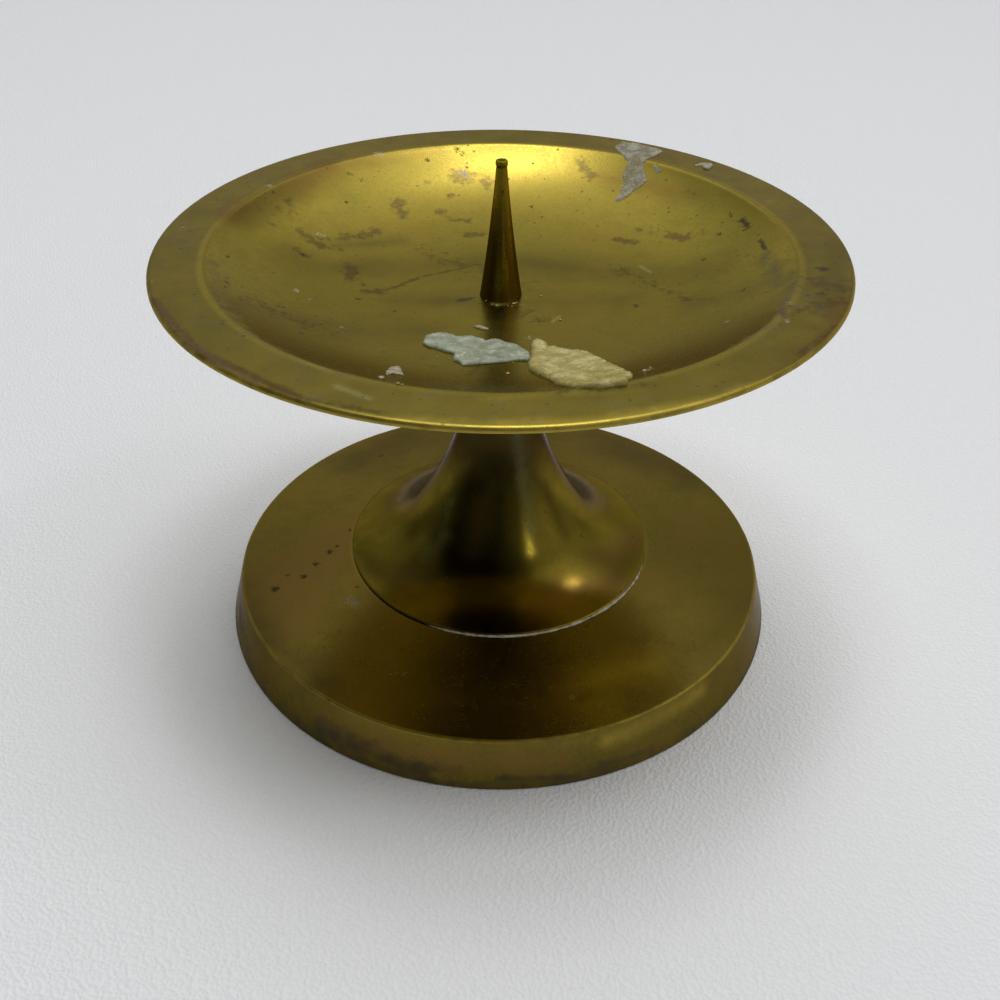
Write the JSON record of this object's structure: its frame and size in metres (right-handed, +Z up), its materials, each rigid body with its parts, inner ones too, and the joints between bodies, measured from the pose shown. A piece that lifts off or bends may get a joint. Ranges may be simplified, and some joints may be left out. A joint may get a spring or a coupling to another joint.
{
  "type": "pricket candle stand",
  "caption": "Low brass pricket stand: a round drip pan with a spike on a trumpet-shaped stem and a broad round base.",
  "frame": {"origin": "centre of the base's underside, on the plane that the stand rests on", "axes": "+Z up along the stand's axis of rotation; +X and +Y are free choices on a round object, -Y faces the picture's viewer"},
  "size_m": [0.12, 0.12, 0.0926],
  "materials": {
    "pan_brass": "aged satin brass with wax stains",
    "spike_brass": "dark aged brass",
    "stem_brass": "aged polished brass",
    "base_brass": "aged satin brass with dark patina",
    "fastener_steel": "zinc plated, dull"
  },
  "bodies": {
    "root": {"drip_pan": "pan_brass", "pricket_spike": "spike_brass", "stem": "stem_brass", "base": "base_brass", "tie_rod": "fastener_steel", "flat_washer": "fastener_steel", "spring_washer": "fastener_steel", "hex_nut": "fastener_steel"}
  },
  "joints": []
}
